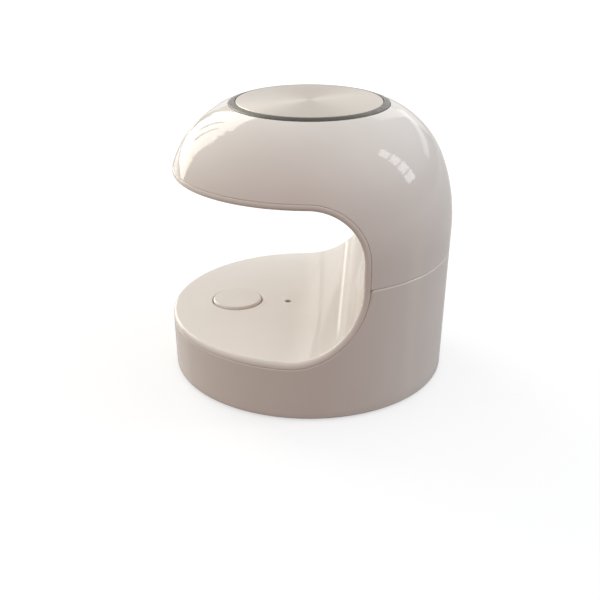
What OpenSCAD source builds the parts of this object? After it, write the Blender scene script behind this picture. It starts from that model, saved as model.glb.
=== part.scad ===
/* [Body] */
// Largest diameter of the round body
body_d = 90; // [88:0.5:96]
// Height from the table to the top of the disc
body_h = 86; // [85:0.5:90]
// Draft of the wall below the belly, in degrees
draft_angle = 1.25; // [0.8:0.05:2]
// Radius of the arc from the belly up the side of the dome
side_r = 54; // [52:0.5:57.5]
// Radius of the arc over the shoulder of the dome
shoulder_r = 28.5; // [27:0.5:29]
// Angle at which the side arc hands over to the shoulder arc
shoulder_angle = 21.4; // [19:0.2:24]
// Wall of both housings
wall = 2.2; // [1.8:0.1:2.6]
// Height of the joint between the two housings, at the back
parting_z = 41.3; // [40:0.1:44]
// Open line left between the edges of the two housings
reveal = 0.1; // [0.1:0.05:0.4]
// Gap between pieces that lie against each other
seam = 0.1; // [0.05:0.05:0.2]

/* [Finger slot] */
// Height of the platform that the fingers rest on
platform_z = 19; // [18.5:0.1:20]
// Clear height of the slot
slot_h = 46; // [45:0.5:46.5]
// How far the end wall lies behind the middle
slot_end = 18.5; // [17:0.1:19]
// Radius from the platform up to the end wall
cove_r = 22.5; // [20:0.5:23]
// Radius from the end wall up to the underside of the head
corner_r = 16; // [14:0.5:17]
// Thickness of the liner, seen as the band round the slot
band = 1.8; // [1.6:0.1:2.2]

/* [Top disc] */
// Diameter of the disc
disc_d = 45; // [40:0.5:47]
// Thickness of the disc and of the ring at its inner edge
disc_t = 2.8; // [2.4:0.1:3.2]
// Width of the ring
ring_w = 2; // [1.4:0.1:3]
// Rounding of the disc's edge
disc_edge = 0.4; // [0.2:0.1:0.8]
// Diameter of the pegs under the disc
peg_d = 3; // [2.5:0.1:4]
// Distance of the pegs from the middle
peg_ring_r = 16; // [13:0.5:17]

/* [Button] */
// Diameter of the button's cap
button_d = 16; // [14:0.2:18]
// Distance of the button in front of the middle
button_y = 23.7; // [22:0.1:25]
// How far the cap stands out of the platform
button_raise = 0.6; // [0.6:0.1:1.2]
// Travel of the button
button_travel = 0.5; // [0.3:0.1:0.6]
// Gap round the cap
button_gap = 0.3; // [0.2:0.05:0.5]
// Rounding of the cap's edge
button_edge = 0.7; // [0.4:0.1:1.2]
// Wall of the cap
button_wall = 1.4; // [1.2:0.1:1.8]
// How far the collar under the platform reaches past the cap
collar_w = 1.7; // [1.4:0.1:2.2]
// Thickness of the collar
collar_t = 1.2; // [1:0.1:1.6]
// Diameter of the stem that pushes the switch
stem_d = 5; // [4:0.2:6]
// Length of the stem below the collar
stem_l = 1.8; // [1.4:0.1:2.4]

/* [Finger sensor] */
// Diameter of the sensor's hole
sensor_d = 2; // [1.6:0.1:3.2]
// Distance of the sensor in front of the middle
sensor_y = 6.8; // [6:0.1:8]
// How far the light pipe lies below the platform
sensor_sink = 0.3; // [0.1:0.1:0.6]
// Diameter of the light pipe's collar
sensor_collar_d = 4.6; // [4:0.2:6]
// Thickness of the light pipe's collar
sensor_collar_t = 1; // [0.8:0.1:1.4]

/* [Base] */
// Height of the feet below the base plate
foot_h = 0.6; // [0.4:0.1:1]
// Diameter of a foot
foot_d = 10; // [8:0.5:12]
// How deep a foot sits in the base plate
foot_sink = 0.9; // [0.6:0.1:1.2]
// Distance of the feet from the middle
foot_ring_r = 31; // [28:0.5:34]
// Thickness of the base plate
plate_t = 2.4; // [2.2:0.1:3]
// Gap round the base plate
plate_gap = 0.2; // [0.1:0.05:0.4]
// Rounding of the drum's lower edge
base_edge = 0.6; // [0.4:0.1:1]
// Distance of the base screws from the drum's inner wall
base_screw_inset = 5.2; // [4.8:0.1:6.4]

/* [Boards] */
// Thickness of the circuit boards
board_t = 1.6; // [1.2:0.1:2]
// Width of the main board
main_w = 40; // [38:0.5:42]
// Length of the main board in front of the middle
main_front = 37; // [36:0.5:38]
// Length of the main board behind the middle
main_back = 8; // [7:0.5:10]
// Gap between the main board's round front and the drum
main_gap = 2; // [1.5:0.1:3]
// Width of the charging board
charge_w = 19; // [18:0.5:20]
// Length of the charging board
charge_l = 15; // [14:0.5:15.5]
// Gap between the charging board's back edge and the drum's belly line
charge_gap = 5; // [4.6:0.1:5.5]
// Distance of the charging board's screws from the middle plane
charge_post_x = 7; // [6.8:0.1:7.2]
// Distance of the charging board's screws from its back edge
charge_post_y = 7; // [6.8:0.1:7.4]
// Height of the switch body
switch_h = 3.5; // [3:0.1:4]
// Width of the switch body
switch_w = 6.2; // [6:0.1:7]
// Diameter of the switch plunger
plunger_d = 3.4; // [3:0.1:3.8]
// How far the plunger still stands out of the switch when it is pressed
plunger_rest = 0.5; // [0.3:0.1:0.9]
// Width of the charging inlet
usb_w = 8.94; // [8.5:0.02:9.2]
// Height of the charging inlet
usb_h = 3.26; // [3:0.02:3.5]
// Depth of the charging inlet
usb_l = 7.35; // [6.5:0.05:8]
// How far the inlet lies inside the drum's surface
usb_sink = 0.8; // [0.5:0.1:1.2]
// Gap round the inlet
usb_gap = 0.3; // [0.2:0.05:0.5]
// Side of a lead plug
plug_w = 5; // [4:0.2:6]
// Height of a lead plug
plug_h = 4; // [3.4:0.2:4.4]
// Distance of the plugs from the middle plane
plug_x = 5; // [4:0.2:6]
// Diameter of a lead
lead_d = 1.4; // [1:0.1:1.6]
// Distance between the two leads of a pair
lead_pitch = 2; // [1.8:0.1:2.4]
// Radius of the bends in a lead
lead_bend = 4; // [3:0.5:5]

/* [Battery] */
// Width of the cell
cell_w = 34; // [30:0.5:36]
// Thickness of the cell
cell_t = 8; // [6:0.5:8.5]
// Height of the cell
cell_h = 50; // [40:1:52]
// Gap between the liner's back and the cell, where the leads run
cell_gap = 2.9; // [2.6:0.1:3.2]
// Thickness of the foam pad behind the cell
pad_t = 1; // [0.8:0.1:1.5]
// Room for the leads between the plugs and the cell
cell_lift = 2.4; // [1.5:0.1:3]

/* [Lamp] */
// Diameter of the clear window
window_d = 34; // [32:0.5:36]
// Distance of the window in front of the middle
window_y = 15; // [14:0.2:16]
// Gap round the window
window_gap = 0.2; // [0.1:0.05:0.3]
// How far the window lies inside the underside
window_sink = 0.3; // [0.1:0.1:0.6]
// Width of the window's flange
window_flange = 2; // [1.5:0.1:2.4]
// Thickness of the window's flange
flange_t = 1.2; // [1:0.1:1.6]
// Thickness of the reflector
reflector_t = 5; // [4.5:0.1:5.5]
// Number of LEDs round the middle one
led_count = 6; // [4:1:6]
// Distance of these LEDs from the middle one
led_ring_r = 10.5; // [10:0.1:11]
// Radius of a reflector cone at its wide end
cone_wide_r = 4.6; // [4:0.1:5]
// Radius of a reflector cone at the LED
cone_narrow_r = 3; // [2.7:0.1:3.4]
// Side of an LED package
led_w = 3.5; // [3:0.1:3.8]
// Thickness of an LED package
led_t = 0.9; // [0.6:0.1:1.2]
// Radius of the dome on an LED
led_dome_r = 1.5; // [1.2:0.1:1.6]
// Distance of the LED board's screws from its middle
led_screw_r = 16; // [15.8:0.1:16.4]

/* [Screws and bosses] */
// Shank of the small screws
screw_d = 2; // [1.6:0.1:2.3]
// Head of the small screws
screw_head_d = 4; // [3.4:0.1:4.4]
// Height of the small screws' heads
screw_head_h = 1.4; // [1:0.1:1.6]
// Length of the small screws' shanks
screw_l = 7; // [5:0.5:7.5]
// Shank of the two column screws
column_screw_d = 3; // [2.6:0.1:3.4]
// Head of the two column screws
column_head_d = 5.6; // [5:0.1:6]
// Height of the column screws' heads
column_head_h = 2.2; // [1.8:0.1:2.6]
// Length of the column screws' shanks
column_screw_l = 17; // [14:0.5:20]
// Gap between a screw and its hole
screw_gap = 0.1; // [0.05:0.05:0.2]
// Outer diameter of the small bosses
boss_d = 6; // [5.4:0.1:6.4]
// Outer diameter of the column bosses
column_boss_d = 8.4; // [8:0.1:9]
// Distance of the column bosses from the middle plane
column_x = 26; // [25:0.2:27]
// Distance of the column bosses behind the middle
column_y = 26; // [25.5:0.1:27]
// Thickness of the ribs
rib_t = 2; // [1.6:0.1:2.4]

/* [Hidden] */
$fn = 96;

// Colours as the object shows them
white = "#e9e2da";
warm_white = "#f1ebe2";
silver = "#dcdad2";
graphite = "#4c4a48";
rubber = "#6d6c6a";
steel = "#b9bcc0";
board_green = "#1f6b45";
smoke = "#2a2422";

// How far a cut runs past the face that it opens
past = 1;
// Room left at the end of a screw
screw_room = 1;

// Levels of the slot
platform_under = platform_z - band;
slot_top = platform_z + slot_h;
head_floor = slot_top + band;

// Outline of the body: a drafted wall, which hands over to the side arc where that is tangent, or just
// below the slot's upper corner where that lies lower, and the shoulder arc up to the disc
join_gap = 0.9;
body_r = body_d / 2;
disc_r = disc_d / 2;
ring_r = disc_r + ring_w;
shoulder_x = body_r - side_r + (side_r - shoulder_r) * cos(shoulder_angle);
shoulder_rise = (side_r - shoulder_r) * sin(shoulder_angle);
disc_rise = sqrt(pow(shoulder_r, 2) - pow(disc_r - shoulder_x, 2));
belly_z = body_h - shoulder_rise - disc_rise;
shoulder_z = belly_z + shoulder_rise;
tangent_z = belly_z - side_r * sin(draft_angle);
join_z = min(tangent_z, slot_top - corner_r - join_gap);
join_angle = asin((belly_z - join_z) / side_r);
foot_r = wall_radius(0);
base_screw_r = foot_r - wall - base_screw_inset;
reach = 2 * body_d;

// Levels from the table up
plate_top = foot_h + plate_t;
shelf_z = body_h - disc_t;
ceiling_z = shelf_z - wall;

// Levels of the button and the switch, from the platform down
collar_top = platform_under - seam;
collar_z = collar_top - collar_t;
stem_z = collar_z - stem_l;
switch_top = stem_z - button_travel - plunger_rest;
board_top = switch_top - switch_h;
board_z = board_top - board_t;
plunger_lip = 0.5;
plunger_lip_d = plunger_d + 2 * plunger_lip;
switch_cover = 0.5;
plunger_lip_t = 0.6;

// Levels of the lamp, from the liner up
reflector_z = head_floor + flange_t;
led_board_z = reflector_z + reflector_t;
led_board_top = led_board_z + board_t;
lamp_d = window_d + 2 * window_flange;
led_seat_z = reflector_z + reflector_t / 2;

// Places in the plane of the boards
main_r = foot_r - wall - main_gap;
rear_post = [16, -1];
front_post_x = 14;
front_post_edge = 3.9;
front_post = [front_post_x, -sqrt(pow(main_r - front_post_edge, 2) - pow(front_post_x, 2))];
board_posts = [for (side = [-1, 1], post = [rear_post, front_post]) [side * post.x, post.y]];
controller_at = [-10, -12.5];
controller_size = [6, 5, 1.6];
driver_at = [9.5, -13];
driver_size = [5, 6, 1.6];
coil_at = [9.5, -5];
coil_d = 6;
coil_h = 3.6;
capacitor_at = [-8, -4];
capacitor_d = 5;
capacitor_h = 5.4;
sensor_size = [3.2, 2.6, 1.6];
charge_back = body_r - charge_gap;
charge_front = charge_back - charge_l;
charge_posts = [for (side = [-1, 1]) [side * charge_post_x, charge_back - charge_post_y]];
plug_y = charge_front + plug_w / 2;
main_plug_y = main_back - plug_w / 2;
usb_shell = 0.3;
usb_tongue = 0.7;
tongue_w = usb_w - usb_h + usb_tongue;
tongue_sink = 1;
usb_z = board_top + usb_h / 2;
usb_y = wall_radius(usb_z) - usb_sink;
plug_mid = board_top + plug_h / 2;
led_plug_y = -window_y + lamp_d / 2 - plug_w;

// Places in the column
cell_y = slot_end + band + cell_gap;
cell_back = cell_y + cell_t;
cell_z = board_top + plug_h + cell_lift;
cell_rib_x = 12;
lead_y = slot_end + band + cell_gap / 2;
column_web = 5;
web_z = parting_z - column_web;

function join_point(inset) = [
    body_r - side_r + (side_r - inset) * cos(join_angle),
    belly_z - (side_r - inset) * sin(join_angle)
];
function wall_radius(z, inset = 0) = join_point(inset).x - (join_point(inset).y - z) * tan(draft_angle);
function ray_z(r, angle) = belly_z + (r - body_r + side_r) * tan(angle);
function led_places() = concat([[0, 0]], [
    for (i = [0 : led_count - 1]) led_ring_r * [cos(i * 360 / led_count), sin(i * 360 / led_count)]
]);
function led_screw_places() = [for (a = [30, 150, 270]) led_screw_r * [cos(a), sin(a)]];

// Half outline of the body, moved inwards by inset: drafted wall, side arc, shoulder arc and top
module body_outline(inset = 0) {
    low = -join_angle;
    high = shoulder_angle;
    polygon([[0, 0], [wall_radius(0, inset), 0], join_point(inset), [0, ray_z(0, high)]]);
    intersection() {
        translate([body_r - side_r, belly_z]) circle(r = side_r - inset);
        polygon([
            [0, ray_z(0, low)],
            [reach, ray_z(reach, low)],
            [reach, ray_z(reach, high)],
            [0, ray_z(0, high)]
        ]);
    }
    intersection() {
        union() {
            translate([shoulder_x, shoulder_z]) circle(r = shoulder_r - inset);
            square([shoulder_x, shoulder_z + shoulder_r - inset]);
        }
        polygon([[0, ray_z(0, high)], [reach, ray_z(reach, high)], [reach, reach], [0, reach]]);
    }
}

// What a round edge takes off the upper outer corner of a half outline
module edge_cut(corner, radius) {
    translate(corner - [radius, radius]) difference() {
        square(radius + past);
        circle(r = radius);
    }
}

// Solid of revolution of the body between two heights
module body_solid(inset, low, high) {
    rotate_extrude() intersection() {
        body_outline(inset);
        translate([0, low]) square([reach, high - low]);
    }
}

// Side view of the finger slot, grown outwards by grow
module slot_outline(grow = 0) {
    low = platform_z - grow;
    high = slot_top + grow;
    back = slot_end + grow;
    cove = cove_r + grow;
    corner = corner_r + grow;
    difference() {
        translate([-reach, low]) square([reach + back, high - low]);
        difference() {
            translate([back - cove, low - past]) square([cove + past, cove + past]);
            translate([back - cove, low + cove]) circle(r = cove);
        }
        difference() {
            translate([back - corner, high - corner]) square([corner + past, corner + past]);
            translate([back - corner, high - corner]) circle(r = corner);
        }
    }
}

// The finger slot as a solid across the whole body
module slot_solid(grow = 0) {
    rotate([90, 0, 90]) linear_extrude(height = reach, center = true) slot_outline(grow);
}

// Copies its children to both sides of the middle plane
module both_sides() {
    children();
    mirror([1, 0, 0]) children();
}

// Copies its children to each place of a list
module at_places(places) {
    for (p = places) translate([p.x, p.y, 0]) children();
}

// The four places of the base screws
module base_screw_places() {
    for (a = [15, 165, 225, 315]) rotate(a) translate([base_screw_r, 0, 0]) children();
}

// Screw with its head's seat at zero and its shank upwards
module screw(d, head_d, head_h, length) {
    difference() {
        union() {
            translate([0, 0, -head_h]) cylinder(d = head_d, h = head_h);
            cylinder(d = d, h = length);
        }
        for (a = [0, 90]) rotate(a) translate([-head_d / 4, -d / 8, -head_h]) {
            cube([head_d / 2, d / 4, head_h / 2]);
        }
    }
}

module small_screw() {
    screw(screw_d, screw_head_d, screw_head_h, screw_l);
}

// Hole for a small screw's shank
module small_hole(length) {
    cylinder(d = screw_d + 2 * screw_gap, h = length);
}

// Two parallel copies, one for each lead of a pair
module lead_pair() {
    for (side = [-1, 1]) translate([side * lead_pitch / 2, 0, 0]) children();
}

// Quarter bend of a lead in the plane of Y and Z, from +Y round to the given end
module lead_elbow() {
    rotate([90, 0, 90]) rotate_extrude(angle = 90) translate([lead_bend, 0]) circle(d = lead_d, $fn = 24);
}

// Straight lead along +Y
module lead_run(length) {
    rotate([-90, 0, 0]) cylinder(d = lead_d, h = length, $fn = 24);
}

// Plug on a board, with its middle at zero
module plug() {
    translate([-plug_w / 2, -plug_w / 2, 0]) cube([plug_w, plug_w, plug_h]);
}

// Moves its children to the middle of the lamp
module at_lamp() {
    translate([0, -window_y, 0]) children();
}

// Drum and lower half of the column, open below, with bosses and the ribs behind the cell
module lower_housing() color(white) {
    top = parting_z - reveal / 2;
    difference() {
        union() {
            difference() {
                rotate_extrude() drum_outline(top);
                body_solid(wall, 0, parting_z);
            }
            intersection() {
                lower_supports();
                body_solid(wall / 2, foot_h, parting_z);
            }
        }
        slot_solid(band + seam);
        base_screw_places() small_hole(plate_top + screw_l + screw_room);
        both_sides() translate([column_x, column_y, 0]) {
            cylinder(d = column_screw_d + 2 * screw_gap, h = parting_z + past);
            cylinder(d = column_head_d + 6 * screw_gap, h = web_z);
        }
        usb_port();
    }
}

// Bosses, ribs and cell shelf of the lower housing, before they are cut to its wall
module lower_supports() {
    base_screw_places() {
        translate([0, 0, plate_top]) cylinder(d = boss_d, h = screw_l + screw_room);
        translate([0, -rib_t / 2, plate_top]) cube([body_r - base_screw_r, rib_t, screw_l + screw_room]);
    }
    both_sides() {
        translate([column_x, column_y, cell_z]) {
            cylinder(d = column_boss_d, h = parting_z - cell_z);
            rotate(45) translate([0, -rib_t / 2, 0]) {
                cube([body_r, rib_t, parting_z - reveal / 2 - cell_z]);
            }
        }
        translate([cell_rib_x - rib_t / 2, cell_back + pad_t, cell_z - rib_t]) {
            cube([rib_t, body_r, parting_z - reveal / 2 - cell_z + rib_t]);
        }
        translate([cell_rib_x - rib_t / 2, cell_y, cell_z - rib_t]) cube([rib_t, body_r, rib_t]);
    }
}

// Half outline of the drum and the lower column, with its lower edge rounded
module drum_outline(top) {
    edge_r = wall_radius(foot_h + base_edge);
    difference() {
        intersection() {
            body_outline(0);
            translate([0, foot_h]) square([reach, top - foot_h]);
        }
        translate([0, foot_h]) mirror([0, 1]) edge_cut([edge_r, 0], base_edge);
    }
}

// Opening for the charging inlet through the back of the drum, with round ends
module usb_port() {
    port_h = usb_h + 2 * usb_gap;
    port_w = usb_w + 2 * usb_gap;
    translate([0, charge_back, usb_z]) rotate([-90, 0, 0]) {
        translate([-(port_w - port_h) / 2, -port_h / 2, -wall]) cube([port_w - port_h, port_h, body_r]);
        both_sides() translate([(port_w - port_h) / 2, 0, -wall]) cylinder(d = port_h, h = body_r);
    }
}

// Dome and upper half of the column, with the shelf for the disc and the bosses of the lamp
module upper_housing() color(white) {
    low = parting_z + reveal / 2;
    difference() {
        union() {
            difference() {
                body_solid(0, low, body_h + past);
                body_solid(wall, 0, ceiling_z);
            }
            intersection() {
                upper_supports();
                body_solid(wall / 2, parting_z, shelf_z);
            }
        }
        slot_solid(band + seam);
        translate([0, 0, shelf_z]) cylinder(r = ring_r + seam, h = body_h);
        peg_places() cylinder(d = peg_d + 2 * seam, h = body_h);
        both_sides() translate([column_x, column_y, 0]) {
            cylinder(d = column_screw_d + 2 * screw_gap, h = web_z + column_screw_l + screw_room);
        }
        at_lamp() at_places(led_screw_places()) small_hole(led_seat_z + screw_l + screw_room);
    }
}

// Column bosses and lamp bosses of the upper housing, before they are cut to its wall
module upper_supports() {
    both_sides() translate([column_x, column_y, parting_z]) {
        cylinder(d = column_boss_d, h = column_screw_l);
        rotate(45) translate([0, -rib_t / 2, reveal / 2]) cube([body_r, rib_t, column_screw_l]);
    }
    at_lamp() at_places(led_screw_places()) translate([0, 0, led_board_top]) {
        cylinder(d = boss_d, h = shelf_z - led_board_top);
    }
}

// The three places of the pegs under the disc
module peg_places() {
    for (a = [30, 150, 270]) rotate(a) translate([peg_ring_r, 0, 0]) children();
}

// C-shaped moulding: platform, cove, end wall and underside of the head in one sheet
module slot_liner() color(warm_white) {
    difference() {
        union() {
            intersection() {
                difference() {
                    slot_solid(band);
                    slot_solid(0);
                }
                body_solid(0, foot_h, body_h);
            }
            at_places(board_posts) translate([0, 0, board_top]) {
                cylinder(d = boss_d, h = platform_z - band / 2 - board_top);
            }
        }
        translate([0, -button_y, 0]) sheet_hole(platform_under, button_d + 2 * button_gap);
        translate([0, -sensor_y, 0]) sheet_hole(platform_under, sensor_d);
        at_lamp() sheet_hole(slot_top, window_d + 2 * window_gap);
        at_places(board_posts) translate([0, 0, board_z]) small_hole(screw_l + seam);
    }
}

// Round hole through the liner where it lies flat
module sheet_hole(low, d) {
    translate([0, 0, low - past]) cylinder(d = d, h = band + 2 * past);
}

// Round disc on top of the dome, with three pegs through the shelf
module cap_disc() color(silver) {
    rotate_extrude() difference() {
        translate([0, shelf_z]) square([disc_r - seam, disc_t]);
        edge_cut([disc_r - seam, body_h], disc_edge);
    }
    peg_places() translate([0, 0, ceiling_z]) cylinder(d = peg_d, h = wall + disc_t / 2);
}

// Dark ring round the disc, its top following the dome
module trim_ring() color(graphite) {
    rotate_extrude() intersection() {
        body_outline(0);
        translate([disc_r, shelf_z]) square([ring_w, body_h]);
    }
}

// Cap with a round edge, a collar that holds it under the platform and a stem to the switch
module start_button() color(warm_white) {
    cap_r = button_d / 2;
    cap_top = platform_z + button_raise;
    translate([0, -button_y, 0]) rotate_extrude() difference() {
        union() {
            translate([0, collar_z]) square([cap_r, cap_top - collar_z]);
            translate([0, collar_z]) square([cap_r + collar_w, collar_t]);
            translate([0, stem_z]) square([stem_d / 2, cap_top - button_wall / 2 - stem_z]);
        }
        edge_cut([cap_r, cap_top], button_edge);
        translate([stem_d / 2, collar_z - past]) {
            square([cap_r - button_wall - stem_d / 2, cap_top - button_wall - collar_z + past]);
        }
    }
}

// Tinted light pipe from the platform down to the sensor
module sensor_lens() color(smoke) {
    pipe_d = sensor_d - 2 * seam;
    pipe_z = board_top + sensor_size.z;
    translate([0, -sensor_y, 0]) {
        translate([0, 0, pipe_z]) cylinder(d = pipe_d, h = platform_z - sensor_sink - pipe_z);
        translate([0, 0, collar_top - sensor_collar_t]) cylinder(d = sensor_collar_d, h = sensor_collar_t);
    }
}

// Bottom cover, with screw recesses, foot recesses and the posts of the charging board
module base_plate() color(white) {
    difference() {
        union() {
            translate([0, 0, foot_h]) cylinder(r = foot_r - wall - plate_gap, h = plate_t);
            at_places(charge_posts) translate([0, 0, foot_h]) cylinder(d = boss_d - 1, h = board_z - foot_h);
        }
        base_screw_places() {
            cylinder(d = screw_d + 2 * screw_gap, h = board_z);
            cylinder(d = screw_head_d + 4 * screw_gap, h = foot_h + screw_head_h);
        }
        foot_places() cylinder(d = foot_d + 2 * seam, h = foot_h + foot_sink);
        at_places(charge_posts) translate([0, 0, board_top - screw_l - seam]) small_hole(screw_l);
    }
}

// The four places of the feet
module foot_places() {
    for (a = [0 : 90 : 270]) rotate(a) translate([foot_ring_r, 0, 0]) children();
}

module rubber_feet() color(rubber) {
    foot_places() cylinder(d = foot_d, h = foot_h + foot_sink);
}

module base_screws() color(steel) {
    base_screw_places() translate([0, 0, foot_h + screw_head_h]) small_screw();
}

module column_screws() color(steel) {
    both_sides() translate([column_x, column_y, web_z]) {
        screw(column_screw_d, column_head_d, column_head_h, column_screw_l);
    }
}

// Control board under the platform, its front round like the drum
module main_board() color(board_green) {
    difference() {
        translate([0, 0, board_z]) linear_extrude(height = board_t) intersection() {
            translate([-main_w / 2, -main_front]) square([main_w, main_front + main_back]);
            circle(r = main_r);
        }
        at_places(board_posts) small_hole(board_top + past);
    }
}

// Switch body with the chamber in which its plunger slides
module tact_switch() color(smoke) {
    translate([0, -button_y, board_top]) difference() {
        translate([-switch_w / 2, -switch_w / 2, 0]) cube([switch_w, switch_w, switch_h]);
        translate([0, 0, switch_cover]) {
            cylinder(d = plunger_lip_d + 2 * button_gap, h = switch_h - 2 * switch_cover);
            cylinder(d = plunger_d + 2 * button_gap, h = switch_h);
        }
    }
}

module switch_plunger() color(warm_white) {
    lip_top = switch_top - switch_cover - seam;
    translate([0, -button_y, lip_top - plunger_lip_t]) {
        cylinder(d = plunger_lip_d, h = plunger_lip_t);
        cylinder(d = plunger_d, h = stem_z - lip_top + plunger_lip_t);
    }
}

module ir_sensor() color(smoke) {
    translate([-sensor_size.x / 2, -sensor_y - sensor_size.y / 2, board_top]) cube(sensor_size);
}

// Controller and driver, coil and capacitor on the main board
module board_chips() color(smoke) {
    at_places([controller_at]) chip(controller_size);
    at_places([driver_at]) chip(driver_size);
    at_places([coil_at]) translate([0, 0, board_top]) cylinder(d = coil_d, h = coil_h);
    at_places([capacitor_at]) translate([0, 0, board_top]) cylinder(d = capacitor_d, h = capacitor_h);
}

// Square package on the main board, with its middle at zero
module chip(size) {
    translate([-size.x / 2, -size.y / 2, board_top]) cube(size);
}

module board_screws() color(steel) {
    at_places(board_posts) translate([0, 0, board_z]) small_screw();
}

// Charging board at the back of the drum
module charge_board() color(board_green) {
    difference() {
        translate([-charge_w / 2, charge_front, board_z]) cube([charge_w, charge_l, board_t]);
        at_places(charge_posts) small_hole(board_top + past);
    }
}

// Charging inlet: a shell with round ends round a tongue
module usb_socket() color(steel) {
    translate([0, usb_y, usb_z]) rotate([90, 0, 0]) {
        difference() {
            usb_tube(usb_h, usb_l);
            translate([0, 0, -usb_shell]) usb_tube(usb_h - 2 * usb_shell, usb_l);
        }
        translate([-tongue_w / 2, -usb_tongue / 2, tongue_sink]) {
            cube([tongue_w, usb_tongue, usb_l - tongue_sink]);
        }
    }
}

// Bar with round ends, as wide as the inlet less what its height has lost
module usb_tube(height, length) {
    flat = usb_w - usb_h;
    translate([-flat / 2, -height / 2, 0]) cube([flat, height, length]);
    both_sides() translate([flat / 2, 0, 0]) cylinder(d = height, h = length);
}

module charge_screws() color(steel) {
    at_places(charge_posts) translate([0, 0, board_top]) mirror([0, 0, 1]) small_screw();
}

// Flat cell that stands on the shelf ribs in the column, with rounded long edges
module battery_cell() color(silver) {
    edge = cell_t / 2;
    translate([0, cell_y + edge, cell_z]) {
        translate([-cell_w / 2 + edge, -edge, 0]) cube([cell_w - cell_t, cell_t, cell_h]);
        both_sides() translate([cell_w / 2 - edge, 0, 0]) cylinder(r = edge, h = cell_h);
    }
}

module battery_pad() color(rubber) {
    pad_w = 2 * cell_rib_x + rib_t;
    translate([-pad_w / 2, cell_back, cell_z]) cube([pad_w, pad_t, parting_z - cell_z]);
}

// Leads from the cell down to its plug
module battery_leads() color(graphite) {
    translate([plug_x, plug_y, board_top + plug_h]) lead_pair() {
        cylinder(d = lead_d, h = cell_lift, $fn = 24);
    }
}

// Clear window in the underside of the head, with a flange that lies on the liner
module lamp_window() color("#e6e3f2", 0.5) {
    at_lamp() {
        translate([0, 0, slot_top + window_sink]) cylinder(d = window_d, h = head_floor - slot_top);
        translate([0, 0, head_floor]) cylinder(d = lamp_d, h = flange_t);
    }
}

// White plate with a cone round each LED and a recess for each screw
module reflector() color(warm_white) {
    at_lamp() difference() {
        translate([0, 0, reflector_z]) cylinder(d = lamp_d, h = reflector_t);
        at_places(led_places()) translate([0, 0, reflector_z]) {
            cylinder(r1 = cone_wide_r, r2 = cone_narrow_r, h = reflector_t);
        }
        at_places(led_screw_places()) {
            small_hole(led_board_top);
            cylinder(d = screw_head_d + 4 * screw_gap, h = led_seat_z);
        }
    }
}

module led_board() color(silver) {
    at_lamp() difference() {
        translate([0, 0, led_board_z]) cylinder(d = lamp_d, h = board_t);
        at_places(led_screw_places()) small_hole(led_board_top + past);
    }
}

// LED packages under the board, each with a clear dome
module led_chips() color("#cbbfe6") {
    at_lamp() at_places(led_places()) {
        translate([-led_w / 2, -led_w / 2, led_board_z - led_t]) cube([led_w, led_w, led_t]);
        difference() {
            translate([0, 0, led_board_z - led_t]) sphere(r = led_dome_r, $fn = 48);
            translate([-led_w / 2, -led_w / 2, led_board_z - led_t]) cube([led_w, led_w, led_w]);
        }
    }
}

module led_screws() color(steel) {
    at_lamp() at_places(led_screw_places()) translate([0, 0, led_seat_z]) small_screw();
}

// Leads from the LED board back over the liner and down behind it to the main board
module led_leads() color(graphite) {
    high = led_board_top + plug_h / 2;
    start = led_plug_y + plug_w / 2;
    bend_y = lead_y - lead_bend;
    translate([plug_x, 0, 0]) lead_pair() {
        translate([0, start, high]) lead_run(bend_y - start);
        translate([0, bend_y, high - lead_bend]) lead_elbow();
        translate([0, lead_y, plug_mid + lead_bend]) {
            cylinder(d = lead_d, h = high - plug_mid - 2 * lead_bend, $fn = 24);
        }
        translate([0, bend_y, plug_mid + lead_bend]) mirror([0, 0, 1]) lead_elbow();
        translate([0, main_back, plug_mid]) lead_run(bend_y - main_back);
    }
}

// Leads between the charging board and the main board
module power_leads() color(graphite) {
    translate([-plug_x, main_back, plug_mid]) lead_pair() lead_run(plug_y - plug_w / 2 - main_back);
}

module lead_plugs() color(warm_white) {
    both_sides() {
        translate([plug_x, main_plug_y, board_top]) plug();
        translate([plug_x, plug_y, board_top]) plug();
    }
    translate([plug_x, led_plug_y, led_board_top]) plug();
}

lower_housing();
upper_housing();
slot_liner();
cap_disc();
trim_ring();
start_button();
sensor_lens();
base_plate();
rubber_feet();
base_screws();
column_screws();
main_board();
tact_switch();
switch_plunger();
ir_sensor();
board_chips();
board_screws();
charge_board();
usb_socket();
charge_screws();
battery_cell();
battery_pad();
battery_leads();
lamp_window();
reflector();
led_board();
led_chips();
led_screws();
led_leads();
power_leads();
lead_plugs();
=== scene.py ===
import math

import bmesh
import bpy
from mathutils import Matrix, Vector


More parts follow.
